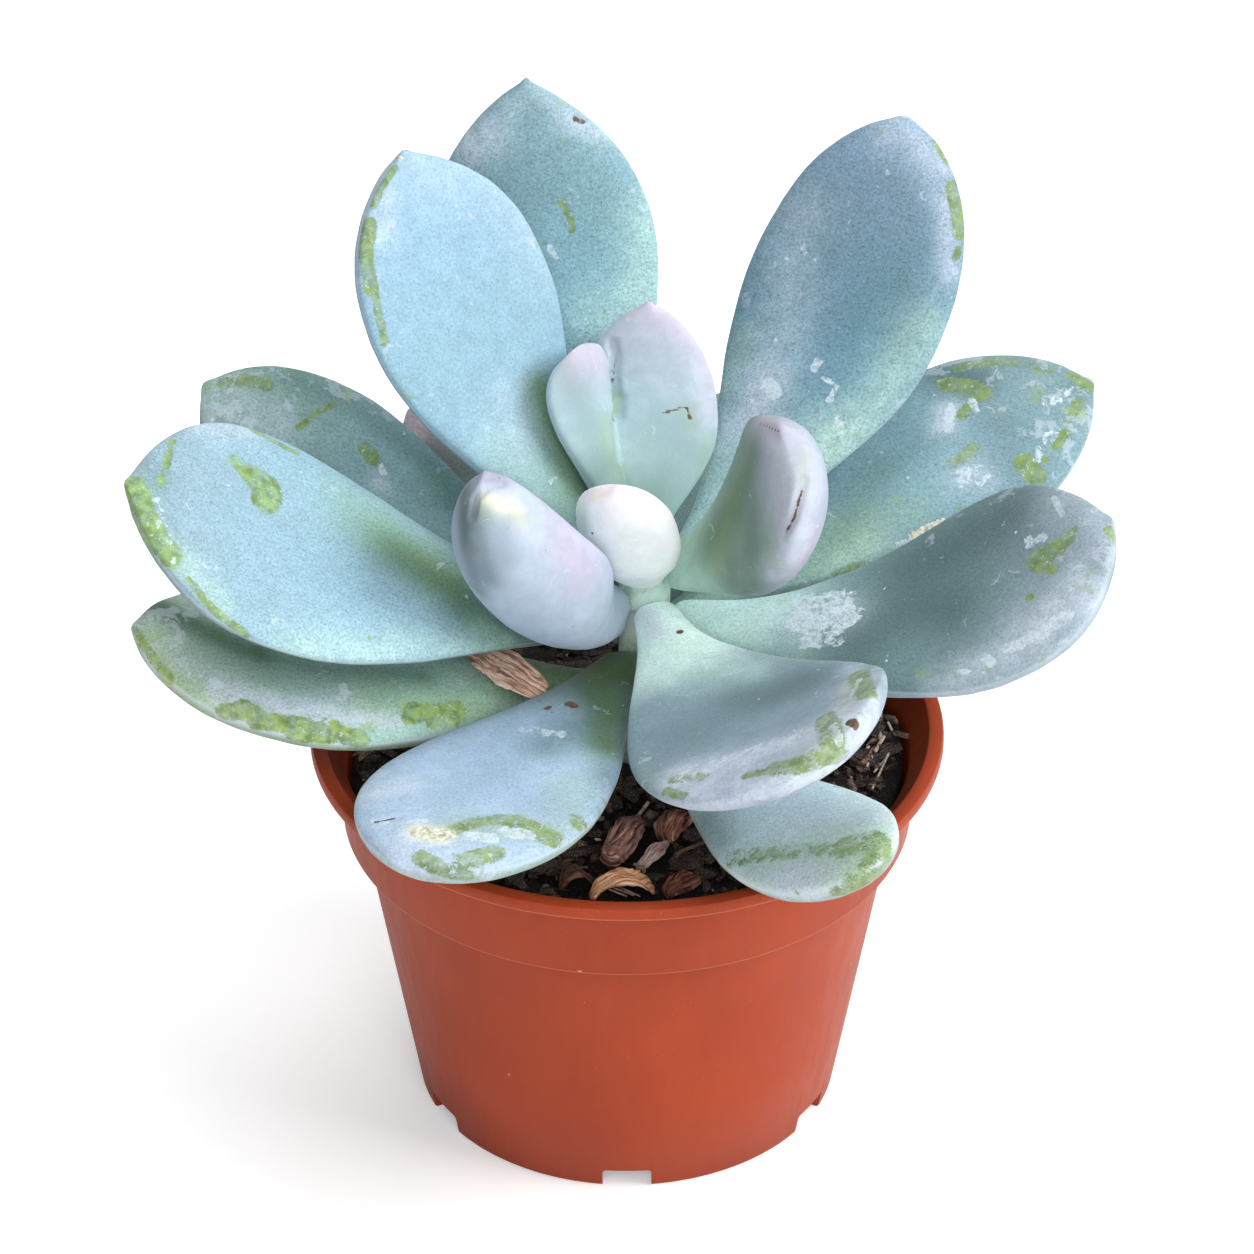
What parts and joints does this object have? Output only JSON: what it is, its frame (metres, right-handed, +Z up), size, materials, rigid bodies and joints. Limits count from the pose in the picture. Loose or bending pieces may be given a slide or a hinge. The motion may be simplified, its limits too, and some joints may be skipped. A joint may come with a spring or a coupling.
{
  "type": "potted succulent",
  "caption": "Rosette succulent with thick, rounded, powdery leaves on a short stem, rooted in soil in a round tapered nursery pot.",
  "frame": {"origin": "middle of the plant's box, seen from above, at the surface that the foot ring stands on; the pot's axis stands a few millimetres to the front left of it", "axes": "+Z up along the pot's axis, +X to the right and +Y to the back as seen from the front of the pictured plant"},
  "size_m": [0.1282, 0.1014, 0.1332],
  "materials": {
    "pot_plastic": "terracotta-coloured plastic, satin",
    "leaf": "powdery pale blue-green, rubbed green in places",
    "stem": "matt green-grey",
    "soil": "dark crumbly peat",
    "dried_leaf": "dry, brown, wrinkled"
  },
  "bodies": {
    "root": {"pot": "pot_plastic", "soil": "soil", "stem": "stem", "leaf_bud": "leaf", "leaf_bud_small": "leaf", "leaf_inner_right": "leaf", "leaf_inner_left": "leaf", "leaf_inner_forked": "leaf", "leaf_front": "leaf", "leaf_back_left": "leaf", "leaf_back_right": "leaf", "leaf_right_front": "leaf", "leaf_left_large": "leaf", "leaf_back_tall": "leaf", "leaf_front_left": "leaf", "leaf_right_behind": "leaf", "leaf_left_behind": "leaf", "leaf_back_low_left": "leaf", "leaf_back_low": "leaf", "leaf_right_low": "leaf", "leaf_left_low": "leaf", "leaf_front_low": "leaf", "dried_leaf_ribbed": "dried_leaf", "dried_leaf_pointed": "dried_leaf", "dried_leaf_folded": "dried_leaf", "dried_leaf_tan": "dried_leaf", "dried_leaf_right": "dried_leaf", "dried_leaf_left": "dried_leaf", "dried_leaf_caught": "dried_leaf"}
  },
  "joints": []
}
